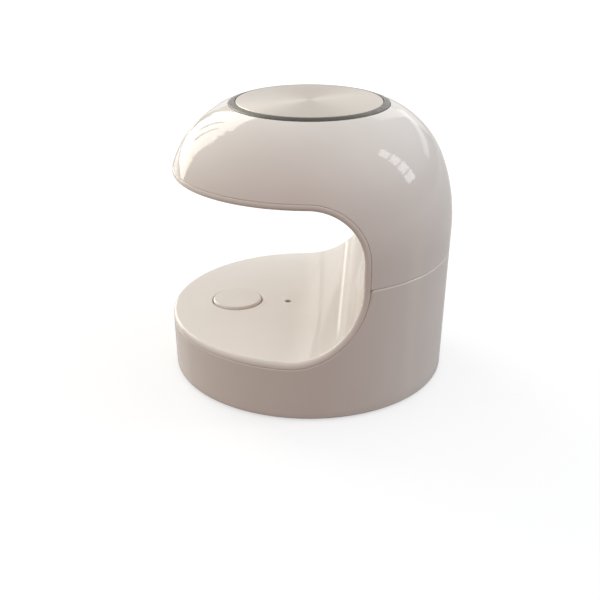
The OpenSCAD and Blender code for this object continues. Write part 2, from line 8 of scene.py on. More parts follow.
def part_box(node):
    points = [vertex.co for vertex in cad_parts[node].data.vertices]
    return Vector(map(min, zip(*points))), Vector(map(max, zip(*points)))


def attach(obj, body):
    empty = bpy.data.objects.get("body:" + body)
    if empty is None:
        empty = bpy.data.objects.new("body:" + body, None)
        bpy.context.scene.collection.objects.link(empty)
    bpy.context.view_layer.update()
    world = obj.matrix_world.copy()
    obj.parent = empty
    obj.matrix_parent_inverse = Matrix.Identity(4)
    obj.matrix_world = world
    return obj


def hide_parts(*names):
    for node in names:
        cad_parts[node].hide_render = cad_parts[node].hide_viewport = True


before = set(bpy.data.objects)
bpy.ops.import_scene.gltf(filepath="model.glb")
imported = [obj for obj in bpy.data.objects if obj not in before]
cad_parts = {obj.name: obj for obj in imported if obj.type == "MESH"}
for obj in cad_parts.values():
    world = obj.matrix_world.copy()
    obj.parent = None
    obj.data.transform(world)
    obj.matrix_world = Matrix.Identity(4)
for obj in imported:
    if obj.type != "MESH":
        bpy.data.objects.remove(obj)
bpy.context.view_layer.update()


# Lower housing: the drum and the lower half of the column.
# Moulded in glossy warm white ABS as one thin shell with a slight draft, open below.
# It is cut by the finger slot and screwed to the upper housing inside the column.
mm = 0.001  # the sizes of the pieces are in millimetres, and this turns them into metres
body_r = 45.0
body_h = 86.0
side_r = 54.0
shoulder_r = 28.5
shoulder_lean = math.radians(21.4)
draft = math.radians(1.25)
disc_r = 22.5
housing_wall = 2.2
parting_z = 41.3
reveal = 0.04
seam = 0.04
platform_z = 19.0
slot_top = 65.0
slot_end = 18.5
cove_r = 22.5
corner_r = 16.0
band = 1.8
foot_h = 0.6
base_round = 0.6
lower_round = 0.4
joint_round = 0.6
edge_strip = 0.2
hem_steps = 4

side_x = body_r - side_r
shoulder_x = side_x + (side_r - shoulder_r) * math.cos(shoulder_lean)
shoulder_rise = (side_r - shoulder_r) * math.sin(shoulder_lean)
belly_z = body_h - shoulder_rise - math.sqrt(shoulder_r ** 2 - (disc_r - shoulder_x) ** 2)
shoulder_z = belly_z + shoulder_rise
cove_y = slot_end - cove_r
cove_z = platform_z + cove_r
corner_y = slot_end - corner_r
corner_z = slot_top - corner_r
housing_grow = band + seam

# Steps along the stretches of an edge round the slot, and those in which the rounding widens to the joint.
front_steps = 72
cove_steps = 30
joint_steps = 40
wall_steps = 6
corner_steps = 24
head_steps = 64
widening_steps = 4


def radius(z, inset=0.0):
    """Radius of the body at a height, moved inwards by inset, and how far its face leans up there."""
    side = side_r - inset
    if z < belly_z - side * math.sin(draft):
        return side_x + (side - (belly_z - z) * math.sin(draft)) / math.cos(draft), -draft
    if z < belly_z + side * math.sin(shoulder_lean):
        return side_x + math.sqrt(side ** 2 - (z - belly_z) ** 2), math.asin((z - belly_z) / side)
    shoulder = shoulder_r - inset
    rise = min(z - shoulder_z, shoulder)
    return shoulder_x + math.sqrt(shoulder ** 2 - rise ** 2), math.asin(rise / shoulder)


def on_body(angle, z, inset=0.0):
    """Point of the body at an angle from the front and a height, with the body's outward direction there."""
    r, lean = radius(z, inset)
    out = Vector((math.sin(angle), -math.cos(angle), 0.0))
    return out * r + Vector((0.0, 0.0, z)), out * math.cos(lean) + Vector((0.0, 0.0, math.sin(lean)))


def at_depth(y, z, inset=0.0):
    """Point of the body on the +X side at a place in the side view, with its outward direction."""
    return on_body(math.acos(max(-1.0, min(1.0, -y / radius(z, inset)[0]))), z, inset)


def bend(y, z, r, start, stop, steps, inset):
    """Stations along an arc of the slot's outline in the side view: its centre, radius and two angles."""
    stations = []
    for i in range(steps + 1):
        a = start + (stop - start) * i / steps
        gap = Vector((0, -math.cos(a), -math.sin(a)))
        stations.append((*at_depth(y + r * math.cos(a), z + r * math.sin(a), inset), gap))
    return stations


def edge(cut, grow, inset=0.0):
    """Half of an edge round the finger slot, on the +X side.

    Each station is a point, the body's outward direction there and the direction into the gap.
    cut is "slot" for the whole slot, "lower" for the lower housing and "upper" for the upper one.
    grow moves the edge away from the slot, and the housings' joint away from the gap by the same.
    """
    up, down, forward = Vector((0, 0, 1)), Vector((0, 0, -1)), Vector((0, -1, 0))
    half = []
    back = slot_end + grow
    low_joint = parting_z - reveal / 2 - (grow - housing_grow)
    high_joint = parting_z + reveal / 2 + (grow - housing_grow)
    if cut != "upper":
        low = platform_z - grow
        last = math.acos(-cove_y / radius(low, inset)[0])
        half += [(*on_body(last * i / front_steps, low, inset), up) for i in range(front_steps)]
        stop = 0.0 if cut == "slot" else math.asin((low_joint - cove_z) / (cove_r + grow))
        half += bend(cove_y, cove_z, cove_r + grow, -math.pi / 2, stop, cove_steps, inset)
    if cut == "lower":
        start = math.acos(-back / radius(low_joint, inset)[0])
        half += [(*on_body(start + (math.pi - start) * i / joint_steps, low_joint, inset), up)
                 for i in range(joint_steps + 1)]
    if cut == "upper":
        stop = math.acos(-back / radius(high_joint, inset)[0])
        half += [(*on_body(math.pi + (stop - math.pi) * i / joint_steps, high_joint, inset), down)
                 for i in range(joint_steps + 1)]
    if cut != "lower":
        wall_low, first = (high_joint, 0) if cut == "upper" else (cove_z, 1)
        half += [(*at_depth(back, wall_low + (corner_z - wall_low) * i / wall_steps, inset), forward)
                 for i in range(first, wall_steps)]
        half += bend(corner_y, corner_z, corner_r + grow, 0.0, math.pi / 2, corner_steps, inset)
        high = slot_top + grow
        turn = math.acos(-corner_y / radius(high, inset)[0])
        half += [(*on_body(turn * (1 - i / head_steps), high, inset), down) for i in range(1, head_steps + 1)]
    return half


def whole(half):
    """Closed loop of points from its +X half."""
    points = [station[0] if isinstance(station, tuple) else station for station in half]
    return points + [Vector((-p.x, p.y, p.z)) for p in points[-2:0:-1]]


def run_out(narrow, wide):
    """Half edge that follows one edge along the slot and runs out into a wider one at the housings' joint."""
    widening = front_steps + cove_steps - widening_steps
    half = []
    for i, ((p, out, gap), (q, _, _)) in enumerate(zip(narrow, wide)):
        share = min(1.0, max(0.0, (i - widening) / widening_steps))
        half.append((p.lerp(q, share), out, gap, share))
    return half


def rolled(cut, grow, round_r, side, steps, joint_r=None):
    """Rows of a rounded edge, from the outer face of the body round to the face in the gap.

    side is 1 where the edge faces the slot and -1 where it faces away.
    joint_r is the rounding along the lower housing's joint, where it is wider than along the slot.
    """
    wide_r = joint_r or round_r
    narrow = edge(cut, grow + side * round_r, round_r)
    wide = edge(cut, grow + side * wide_r, wide_r)
    stations = [(centre, out, side * gap, round_r + (wide_r - round_r) * share)
                for centre, out, gap, share in run_out(narrow, wide)]
    return [whole([centre + r * out.slerp(gap, k / steps) for centre, out, gap, r in stations])
            for k in range(steps + 1)]


def skin(near, far, count, inset=0.0, ease=1.0):
    """Rows on the body between two closed loops, each point moving evenly in angle.

    ease above 1 brings the rows closer together in height towards the far loop.
    """
    rows = []
    for k in range(1, count):
        t = k / count
        lift = 1 - (1 - t) ** ease
        row = []
        for p, q in zip(near, far):
            a, b = math.atan2(p.x, -p.y), math.atan2(q.x, -q.y)
            b += 2 * math.pi * round((a - b) / (2 * math.pi))
            row.append(on_body(a + (b - a) * t, p.z + (q.z - p.z) * lift, inset)[0])
        rows.append(row)
    return rows


def circle(r, z, count, x=0.0, y=0.0):
    """Closed loop of points round an upright axis, starting at the front."""
    return [Vector((x + r * math.sin(2 * math.pi * i / count), y - r * math.cos(2 * math.pi * i / count), z))
            for i in range(count)]


def ring(bm, points):
    """Closed loop of edges through points given in millimetres."""
    loop = [bm.verts.new(p * mm) for p in points]
    for a, b in zip(loop, loop[1:] + loop[:1]):
        bm.edges.new((a, b))
    return loop


def loop_edges(bm, loop):
    """Edges of a closed loop of vertices."""
    return [bm.edges.get((a, b)) for a, b in zip(loop, loop[1:] + loop[:1])]


def sweep(bm, loop, rows):
    """Extrudes a closed loop from row to row and returns its last copy."""
    for points in rows:
        made = bmesh.ops.extrude_edge_only(bm, edges=loop_edges(bm, loop))["geom"]
        fresh = {v for v in made if isinstance(v, bmesh.types.BMVert)}
        loop = [next(e.other_vert(v) for e in v.link_edges if e.other_vert(v) in fresh) for v in loop]
        for v, p in zip(loop, points):
            v.co = p * mm
    return loop


def bridge(bm, one, other):
    """Joins two closed loops by a band of faces."""
    bmesh.ops.bridge_loops(bm, edges=loop_edges(bm, one) + loop_edges(bm, other))


def linear(code):
    """Linear colour of a hex code, as the shader sockets take it."""
    channels = [int(code[i:i + 2], 16) / 255 for i in (1, 3, 5)]
    return [c / 12.92 if c <= 0.04045 else ((c + 0.055) / 1.055) ** 2.4 for c in channels] + [1.0]


def add(tree, kind, inputs=None, **settings):
    """Adds a node with its settings, its constant inputs and its links."""
    made = tree.nodes.new(kind)
    for name, value in settings.items():
        setattr(made, name, value)
    for name, value in (inputs or {}).items():
        if isinstance(value, bpy.types.NodeSocket):
            tree.links.new(value, made.inputs[name])
        else:
            made.inputs[name].default_value = value
    return made


def blank(name):
    """A material that has no nodes yet, and its node tree."""
    material = bpy.data.materials.new(name)
    material.use_nodes = True
    material.node_tree.nodes.clear()
    return material, material.node_tree


def surface(name, pale, deep, gloss, spot=14.0, grain=2.2, relief=0.004, fixed=None):
    """A finish whose tone, gloss and relief vary as the real one's do.

    spot is the size of its paler and deeper patches, grain that of its relief, and relief the relief's depth.
    """
    material, tree = blank(name)
    where = add(tree, "ShaderNodeTexCoord").outputs["Object"]
    tone = add(tree, "ShaderNodeTexNoise", {"Vector": where, "Scale": 1 / (spot * mm), "Detail": 2.0})
    colour = add(tree, "ShaderNodeMix", {"Factor": tone.outputs["Fac"], "A": linear(deep), "B": linear(pale)},
                 data_type="RGBA")
    haze = add(tree, "ShaderNodeTexNoise", {"Vector": where, "Scale": 1 / (1.4 * grain * mm), "Detail": 3.0})
    rough = add(tree, "ShaderNodeMapRange", {"Value": haze.outputs["Fac"], "From Min": 0.3, "From Max": 0.7,
                                             "To Min": gloss * 0.8, "To Max": gloss * 1.2})
    wave = add(tree, "ShaderNodeTexNoise", {"Vector": where, "Scale": 1 / (grain * mm), "Detail": 1.0})
    bump = add(tree, "ShaderNodeBump",
               {"Height": wave.outputs["Fac"], "Strength": 1.0, "Distance": relief * mm})
    shader = add(tree, "ShaderNodeBsdfPrincipled",
                 {"Base Color": colour.outputs["Result"], "Roughness": rough.outputs["Result"],
                  "Normal": bump.outputs["Normal"], **(fixed or {})})
    add(tree, "ShaderNodeOutputMaterial", {"Surface": shader.outputs["BSDF"]})
    return material


merge_distance = 0.0005 * mm
sharp_angle = math.radians(35)


def piece(name, bm, material, slot, *nodes, body="lamp"):
    """Turns a finished bmesh into a piece of the object that stands for its CAD nodes."""
    bmesh.ops.remove_doubles(bm, verts=bm.verts, dist=merge_distance)
    bmesh.ops.recalc_face_normals(bm, faces=bm.faces)
    mesh = bpy.data.meshes.new(name)
    bm.to_mesh(mesh)
    bm.free()
    mesh.shade_smooth()
    mesh.set_sharp_from_angle(angle=sharp_angle)
    mesh.materials.append(material)
    made = bpy.data.objects.new(name, mesh)
    bpy.context.collection.objects.link(made)
    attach(made, body)
    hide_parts(*nodes)
    return made


# Glossy white ABS, a little warm, which shows the window panes as clear reflections.
housing_white = surface("glossy_white_abs", "#ece5de", "#e7dfd7", 0.075, fixed={"IOR": 1.52})

drum = bmesh.new()
lip = rolled("lower", housing_grow, lower_round, side=1, steps=6, joint_r=joint_round)
count = len(lip[0])
strip = whole(run_out(edge("lower", housing_grow + lower_round + edge_strip),
                      edge("lower", housing_grow + joint_round + edge_strip)))
hem_z = foot_h + base_round
hem_r = radius(hem_z)[0]
hem = circle(hem_r, hem_z, count)
hem_turns = [math.pi / 2 * k / hem_steps for k in range(1, hem_steps + 1)]
hem_rows = [circle(hem_r - base_round * (1 - math.cos(turn)), hem_z - base_round * math.sin(turn), count)
            for turn in hem_turns]
inner_hem = circle(radius(foot_h, housing_wall)[0], foot_h, count)
inner_top = whole(edge("lower", housing_grow, housing_wall))
start = ring(drum, strip)
outer_rows = skin(strip, hem, count=12) + [hem] + hem_rows
inner_rows = [inner_hem] + skin(inner_hem, inner_top, count=6, inset=housing_wall) + [inner_top]
inner_end = sweep(drum, start, outer_rows + inner_rows)
rim_end = sweep(drum, start, lip)
bridge(drum, inner_end, rim_end)
lower_housing = piece("lower_housing_shell", drum, housing_white, "housing_white", "lower_housing")


# The opening for the charging inlet, cut through the housing's back wall.
# It has round ends like the inlet, and leaves a little room all round it.
def stadium(width, height, y, z, count=20):
    """Closed loop of points with round ends that stands across the front to back line."""
    r = height / 2
    return [Vector((side * (width / 2 - r + r * math.sin(math.pi * i / count)), y,
                    z + side * r * math.cos(math.pi * i / count)))
            for side in (1, -1) for i in range(count + 1)]


def lid(bm, loop):
    """Closes a loop with one flat face."""
    bmesh.ops.contextual_create(bm, geom=loop_edges(bm, loop))


port_w, port_h, port_z, port_past = 9.54, 3.86, 11.23, 2.0
port_outside = body_r + port_past
port_inside = body_r - 2 * housing_wall
port = bmesh.new()
mouth = ring(port, stadium(port_w, port_h, port_outside, port_z))
lid(port, mouth)
lid(port, sweep(port, mouth, [stadium(port_w, port_h, port_inside, port_z)]))
bmesh.ops.recalc_face_normals(port, faces=port.faces)
port_mesh = bpy.data.meshes.new("port_cut")
port.to_mesh(port_mesh)
port.free()
port_cut = bpy.data.objects.new("port_cut", port_mesh)
bpy.context.collection.objects.link(port_cut)
cut = lower_housing.modifiers.new("port", "BOOLEAN")
cut.operation = "DIFFERENCE"
cut.solver = "EXACT"
cut.object = port_cut
evaluated = lower_housing.evaluated_get(bpy.context.evaluated_depsgraph_get())
lower_housing.data = bpy.data.meshes.new_from_object(evaluated)
lower_housing.data.set_sharp_from_angle(angle=sharp_angle)
lower_housing.modifiers.clear()
bpy.data.objects.remove(port_cut)


# Upper housing: the dome and the upper half of the column, moulded in the same glossy ABS.
# Its flat recess on top takes the disc and the ring, and its lower edge meets the drum in a fine open line.
# Two screws inside the column pull it down on the lower housing.
ring_r = 24.5
shelf_depth = 2.8
shelf_z = body_h - shelf_depth
ceiling_z = shelf_z - housing_wall
upper_round = 0.15
recess_r = ring_r + seam
recess_round = 0.15
recess_drop = 0.12
dome_ease = 1.7


def dome_z(r):
    """Height of the dome at a radius near the top."""
    return shoulder_z + math.sqrt(shoulder_r ** 2 - (r - shoulder_x) ** 2)


def turned(points):
    """The same loop, started at the back as the upper housing's edge is."""
    middle = len(points) // 2
    return points[middle::-1] + points[:middle:-1]


dome = bmesh.new()
lip = rolled("upper", housing_grow, upper_round, side=1, steps=4)
count = len(lip[0])
strip = whole(edge("upper", housing_grow + upper_round + edge_strip))
recess_z = dome_z(recess_r + recess_round)
crown = turned(circle(recess_r + recess_round, recess_z, count))
recess_edge = turned(circle(recess_r, recess_z - recess_drop, count))
recess_floor = turned(circle(recess_r, shelf_z, count))
start = ring(dome, strip)
outer_rows = skin(strip, crown, count=40, ease=dome_ease) + [crown, recess_edge, recess_floor]
lid(dome, sweep(dome, start, outer_rows))
inner_low = whole(edge("upper", housing_grow, housing_wall))
ceiling = turned(circle(radius(ceiling_z, housing_wall)[0], ceiling_z, count))
inside = ring(dome, inner_low)
inner_rows = skin(inner_low, ceiling, count=16, inset=housing_wall, ease=dome_ease) + [ceiling]
lid(dome, sweep(dome, inside, inner_rows))
rim_end = sweep(dome, start, lip)
bridge(dome, inside, rim_end)
piece("upper_housing_shell", dome, housing_white, "housing_white", "upper_housing")


# Slot liner: platform, cove, end wall and underside of the head in one C-shaped moulding.
# Glossy ABS in a slightly lighter white, held between the housings; the lighter white is painted light for
# the slot that the head shades.
# Its rolled lip lies flush with both of them.
lip_reach = 1.65
lip_drop = 1.05
lip_steps = 10
liner_back_round = 0.15
border_width = 0.25
flat_tolerance = 0.001
button_y, button_hole_r, button_round = -23.7, 8.3, 0.35
sensor_y, sensor_hole_r, sensor_round = -6.8, 1.0, 0.2
window_y, window_hole_r, window_round = -15.0, 17.2, 0.35
wide_land, small_land = 0.1, 0.05
wide_hole_steps, small_hole_steps = 96, 40
small_hole_r = 3.0
hole_round_steps = 5
platform_end = front_steps - 1
head_start = front_steps + cove_steps + wall_steps + corner_steps


def flat_field(bm, loop, first, last, holes, z):
    """Fills a flat part of the liner between its edge and its round holes, and returns the holes' loops."""
    n = len(loop)
    side = loop[first:last + 1]
    other = [loop[-i % n] for i in range(first, last + 1)]
    edges = [bm.edges.get(pair) for run in (side, other) for pair in zip(run, run[1:])]
    end = first if first else last
    across = (loop[end], loop[-end % n])
    edges.append(bm.edges.get(across) or bm.edges.new(across))
    rings = []
    for y, r in holes:
        steps = small_hole_steps if r < small_hole_r else wide_hole_steps
        rings.append(ring(bm, circle(r, z, steps, 0.0, y)))
        edges += loop_edges(bm, rings[-1])
    bmesh.ops.triangle_fill(bm, edges=edges, use_beauty=True)
    return rings


def liner_sheet(bm, loop, holes_low, z_low, holes_high, z_high):
    """One face of the liner inside a loop at the slot's edge: two flat fields and a bent sheet between."""
    n = len(loop)
    for i in range(platform_end, head_start):
        bm.faces.new((loop[i], loop[i + 1], loop[-(i + 1) % n], loop[-i % n]))
    low = flat_field(bm, loop, 0, platform_end, holes_low, z_low)
    high = flat_field(bm, loop, head_start, n // 2, holes_high, z_high)
    return low + high


def hole_wall(bm, near, far, y, r, z_near, z_far, round_r):
    """Wall of a round hole between two faces of the liner, with its outer edge rounded."""
    step = math.copysign(1.0, z_far - z_near)
    rows = []
    for k in range(hole_round_steps + 1):
        turn = math.pi / 2 * k / hole_round_steps
        rows.append(circle(r + round_r * (1 - math.sin(turn)), z_near + step * round_r * (1 - math.cos(turn)),
                           len(near), 0.0, y))
    bridge(bm, sweep(bm, near, rows), far)


liner = bmesh.new()
turns = [math.pi / 2 * k / lip_steps for k in range(lip_steps + 1)]
lip = [whole(edge("slot", lip_reach * (1 - math.sin(turn)), lip_drop * (1 - math.cos(turn))))
       for turn in turns]
border = []
for p in lip[-1]:
    if p.z < platform_z + flat_tolerance or p.z > slot_top - flat_tolerance:
        border.append(p - Vector((p.x, p.y, 0)).normalized() * border_width)
    else:
        border.append(p - Vector((math.copysign(border_width, p.x), 0, 0)))
border[0].x = border[len(border) // 2].x = 0.0
front = ring(liner, border)
fronts = liner_sheet(
    liner, front, [(button_y, button_hole_r + button_round + wide_land),
                   (sensor_y, sensor_hole_r + sensor_round + small_land)], platform_z,
    [(window_y, window_hole_r + window_round + wide_land)], slot_top)
outer = sweep(liner, front, lip[::-1] + rolled("slot", band, liner_back_round, side=-1, steps=3))
backs = liner_sheet(
    liner, outer, [(button_y, button_hole_r), (sensor_y, sensor_hole_r)], platform_z - band,
    [(window_y, window_hole_r)], slot_top + band)
for near, far, hole in zip(fronts, backs, (
        (button_y, button_hole_r, platform_z, platform_z - band, button_round),
        (sensor_y, sensor_hole_r, platform_z, platform_z - band, sensor_round),
        (window_y, window_hole_r, slot_top, slot_top + band, window_round))):
    hole_wall(liner, near, far, *hole)
# The liner's ABS, as glossy as the housings; its slightly lighter white is painted light for the slot that
# the head shades.
liner_white = surface("glossy_liner_abs", "#ede6de", "#e9e1d8", 0.08, fixed={"IOR": 1.52})
piece("slot_liner_sheet", liner, liner_white, "liner_white", "slot_liner")


# Start button: a round cap of the liner's white ABS with a soft edge, which slides in the platform's hole.
# A collar under the platform holds it in and its stem stands on the switch.
def spun(bm, profile, x=0.0, y=0.0, steps=128):
    """Turns a profile of radius and height round a vertical axis at x, y."""
    verts = [bm.verts.new(Vector((x + r, y, z)) * mm) for r, z in profile]
    edges = [bm.edges.new(pair) for pair in zip(verts, verts[1:])]
    bmesh.ops.spin(bm, geom=verts + edges, cent=Vector((x, y, 0)) * mm, axis=(0, 0, 1), dvec=(0, 0, 0),
                   angle=2 * math.pi, steps=steps, use_merge=True, use_duplicate=False)
    bmesh.ops.remove_doubles(bm, verts=bm.verts, dist=merge_distance)


def rounded(corner_r, corner_z, round_r, start, stop, steps=6):
    """Points of a rounded corner of a profile: its centre, its radius and the angles it turns through."""
    turns = [math.radians(start + (stop - start) * k / steps) for k in range(steps + 1)]
    return [(corner_r + round_r * math.cos(turn), corner_z + round_r * math.sin(turn)) for turn in turns]


cap_r, cap_top, cap_round, skirt_low = 8.0, 19.6, 0.7, 17.2
collar_r, collar_high, collar_low = 9.7, 17.1, 15.9
hollow_r, hollow_z = 6.6, 18.2
stem_r, stem_low = 2.5, 14.1
cap = bmesh.new()
dished_face = [(0.0, cap_top - 0.06), (2.5, cap_top - 0.05), (5.0, cap_top - 0.02), (7.2, cap_top)]
cap_edge = rounded(cap_r - cap_round, cap_top - cap_round, cap_round, 90, 0, 10)
underside = [(cap_r, skirt_low), (cap_r, collar_high), (collar_r, collar_high), (collar_r, collar_low),
             (hollow_r, collar_low), (hollow_r, hollow_z), (stem_r, hollow_z), (stem_r, stem_low),
             (0.0, stem_low)]
spun(cap, dished_face + cap_edge + underside, 0.0, button_y)
# The button's own ABS, from the same resin as the liner.
button_white = surface("glossy_button_abs", "#ebe4dc", "#e7dfd6", 0.09, fixed={"IOR": 1.52})
piece("start_button_cap", cap, button_white, "button_white", "start_button", body="button")


# Light pipe: a peg of tinted acrylic with a collar, pushed up into the small hole of the platform.
# Its slightly crowned end shows as a dark dot, and its foot stands on the control board's sensor.
lens_r, lens_top, lens_foot = 0.9, 18.7, 11.2
rim_r, rim_high, rim_low = 2.3, 17.1, 16.1
pipe = bmesh.new()
crowned_end = [(0.0, lens_top), (0.35, lens_top - 0.03), (0.62, lens_top - 0.1), (0.82, lens_top - 0.22),
               (lens_r, lens_top - 0.4)]
collar = [(lens_r, rim_high), (rim_r, rim_high), (rim_r, rim_low), (lens_r, rim_low)]
spun(pipe, crowned_end + collar + [(lens_r, lens_foot), (0.0, lens_foot)], 0.0, sensor_y, steps=64)
# Tinted acrylic that passes infrared light: it looks almost black in the hole and has a clear gloss.
smoke_lens = surface("tinted_acrylic", "#584f4d", "#4a4240", 0.07, spot=2.0, fixed={"IOR": 1.49})
piece("light_pipe", pipe, smoke_lens, "smoke_lens", "sensor_lens")


# Boards: the control board under the platform and the small charging board at the back.
# Glass fibre laminate under green solder mask; screws hold both boards to bosses.
def finish_nodes(material, *names):
    """Gives CAD nodes that keep their own shape their real material."""
    for name in names:
        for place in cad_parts[name].material_slots:
            place.material = material


# Green solder mask, paler over the copper tracks than over the bare laminate between them.
track_length, track_pitch, track_gap = 7.0, 0.9, 0.12
board_green, tree = blank("green_solder_mask")
where = add(tree, "ShaderNodeTexCoord").outputs["Object"]
tracks = add(tree, "ShaderNodeTexBrick",
             {"Vector": where, "Color1": linear("#2f7d4a"), "Color2": linear("#2a7345"),
              "Mortar": linear("#1d5533"), "Scale": 1 / mm, "Mortar Size": track_gap,
              "Brick Width": track_length, "Row Height": track_pitch})
relief = add(tree, "ShaderNodeBump",
             {"Height": tracks.outputs["Fac"], "Strength": 1.0, "Distance": 0.03 * mm}, invert=True)
shader = add(tree, "ShaderNodeBsdfPrincipled",
             {"Base Color": tracks.outputs["Color"], "Normal": relief.outputs["Normal"], "Roughness": 0.32,
              "IOR": 1.55})
add(tree, "ShaderNodeOutputMaterial", {"Surface": shader.outputs["BSDF"]})
finish_nodes(board_green, "main_board", "charge_board")


# Board parts: the controller, driver, coil, capacitor and sensor, and the switch with its plunger.
# Moulded epoxy and nylon packages, soldered to the control board.
# The plunger is acetal and moves with the button.

# Black moulding epoxy, matt with a fine grain.
chip_black = surface("moulding_epoxy", "#2a2a2c", "#1e1e20", 0.5, spot=1.2, grain=0.15, relief=0.01)
finish_nodes(chip_black, "board_chips", "ir_sensor")
# Black glass-filled nylon of the switch body, a little smoother than the packages.
switch_black = surface("switch_nylon", "#2c2b2b", "#222122", 0.38, spot=1.5, grain=0.3, relief=0.006)
finish_nodes(switch_black, "tact_switch")
# White acetal, waxy and smooth.
plunger_white = surface("white_acetal", "#efece6", "#e6e2da", 0.3, spot=1.5, grain=0.6)
finish_nodes(plunger_white, "switch_plunger")


# Charging inlet: a drawn steel shell with round ends, soldered to the charging board behind the opening.
# A flat tongue with plated contacts stands in the middle of the shell.
usb_w, usb_h, usb_front, usb_back, usb_wall = 8.94, 3.26, 43.38, 36.03, 0.3
inlet = bmesh.new()
end = ring(inlet, stadium(usb_w, usb_h, usb_back, port_z))
lid(inlet, end)
shell_profile = [(0.0, usb_front - 0.12), (0.03, usb_front - 0.04), (0.1, usb_front), (0.22, usb_front),
                 (usb_wall, usb_front - 0.1), (usb_wall, usb_back + usb_wall)]
lid(inlet, sweep(inlet, end, [stadium(usb_w - 2 * inset, usb_h - 2 * inset, y, port_z)
                              for inset, y in shell_profile]))
# Nickel-plated steel with faint drawing marks.
socket_steel = surface("nickel_plated_steel", "#c9c7c3", "#b3b1ad", 0.24, spot=2.0, grain=0.5, relief=0.002,
                       fixed={"Metallic": 1.0})
piece("usb_shell", inlet, socket_steel, "socket_steel", "usb_socket")


def block(bm, middle, size):
    """Box of a size round its middle."""
    place = Matrix.LocRotScale(Vector(middle) * mm, None, Vector(size) * mm)
    bmesh.ops.create_cube(bm, size=1.0, matrix=place)


def soften(bm, offset, segments):
    """Bevels all the edges of a mesh."""
    bmesh.ops.bevel(bm, geom=bm.edges[:], offset=offset * mm, affect="EDGES", segments=segments, profile=0.5,
                    material=-1)


tongue_w, tongue_t, tongue_edge, tongue_sink, tongue_root = 6.38, 0.7, 0.15, 1.0, 0.15
tongue_front = usb_front - tongue_sink
tongue_back = usb_back + tongue_root
tongue = bmesh.new()
block(tongue, (0, (tongue_front + tongue_back) / 2, port_z), (tongue_w, tongue_front - tongue_back, tongue_t))
soften(tongue, tongue_edge, segments=2)
# Black heat-proof plastic with a row of gold-plated contacts at half-millimetre spacing.
contact_pitch, plastic_share = 0.5, 0.52
contacts, tree = blank("gold_contacts_in_black_plastic")
where = add(tree, "ShaderNodeTexCoord").outputs["Object"]
across = add(tree, "ShaderNodeSeparateXYZ", {"Vector": where}).outputs["X"]
pitch = add(tree, "ShaderNodeMath", {0: across, 1: 1 / (contact_pitch * mm)}, operation="MULTIPLY")
row = add(tree, "ShaderNodeMath", {0: pitch.outputs[0]}, operation="FRACT")
gold = add(tree, "ShaderNodeMath", {0: row.outputs[0], 1: plastic_share}, operation="GREATER_THAN")
colour = add(tree, "ShaderNodeMix",
             {"Factor": gold.outputs[0], "A": linear("#1b1a1b"), "B": linear("#d8b26a")}, data_type="RGBA")
shader = add(tree, "ShaderNodeBsdfPrincipled",
             {"Base Color": colour.outputs["Result"], "Metallic": gold.outputs[0], "Roughness": 0.34})
add(tree, "ShaderNodeOutputMaterial", {"Surface": shader.outputs["BSDF"]})
piece("usb_tongue", tongue, contacts, "switch_black", "usb_socket")


# Cell, pad and leads: a flat lithium cell stands in the column, with foam tape between it and the ribs.
# Insulated leads run from the cell and the boards to the plugs.

# Aluminium laminate of a pouch cell, with shallow wrinkles.
cell_foil = surface("laminate_foil", "#c8c9cb", "#b2b4b7", 0.34, spot=6.0, grain=3.5, relief=0.05,
                    fixed={"Metallic": 1.0})
finish_nodes(cell_foil, "battery_cell")
pad_low, pad_high = (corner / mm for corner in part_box("battery_pad"))
pad_edge = 0.3
pad = bmesh.new()
block(pad, (pad_low + pad_high) / 2, pad_high - pad_low)
soften(pad, pad_edge, segments=3)
# Closed-cell polyethylene foam, matt grey with fine pores.
foam_grey = surface("polyethylene_foam", "#6f6f70", "#5a5a5c", 0.85, spot=1.0, grain=0.35, relief=0.08)
battery_pad = piece("foam_pad", pad, foam_grey, "foam_grey", "battery_pad")
# Soft PVC insulation, dark and slightly shiny.
lead_black = surface("pvc_insulation", "#37373a", "#2a2a2d", 0.42, spot=2.0, grain=0.5)
finish_nodes(lead_black, "battery_leads", "led_leads", "power_leads")
# Natural nylon of the lead plugs, off-white and satin.
plug_white = surface("plug_nylon", "#ece8df", "#e2ddd2", 0.4, spot=2.0, grain=0.4)
finish_nodes(plug_white, "lead_plugs")


# Lamp window: a turned disc of clear acrylic with a flange that sits on the liner's opening from above.
# The flange lies between the liner and the reflector.
def clear(name, tint, deep, gloss, ior):
    """Clear plastic: a faint tint that light passes through under a mirror-like skin."""
    material, tree = blank(name)
    where = add(tree, "ShaderNodeTexCoord").outputs["Object"]
    tone = add(tree, "ShaderNodeTexNoise", {"Vector": where, "Scale": 1 / (8 * mm), "Detail": 1.0})
    colour = add(tree, "ShaderNodeMix", {"Factor": tone.outputs["Fac"], "A": linear(deep), "B": linear(tint)},
                 data_type="RGBA")
    through = add(tree, "ShaderNodeBsdfTransparent", {"Color": colour.outputs["Result"]})
    shine = add(tree, "ShaderNodeBsdfGlossy", {"Color": linear("#ffffff"), "Roughness": gloss})
    share = add(tree, "ShaderNodeFresnel", {"IOR": ior})
    both = add(tree, "ShaderNodeMixShader", {0: share.outputs[0], 1: through.outputs[0], 2: shine.outputs[0]})
    add(tree, "ShaderNodeOutputMaterial", {"Surface": both.outputs[0]})
    return material


window_r, window_low, window_edge = 17.0, 65.3, 0.3
flange_low, lamp_low, lamp_r = 66.8, 68.0, 19.0
lower_edge = rounded(window_r - window_edge, window_low + window_edge, window_edge, -90, 0)
flange = [(window_r, flange_low), (lamp_r, flange_low), (lamp_r, lamp_low), (0.0, lamp_low)]
glazing = bmesh.new()
spun(glazing, [(0.0, window_low)] + lower_edge + flange, 0.0, window_y)
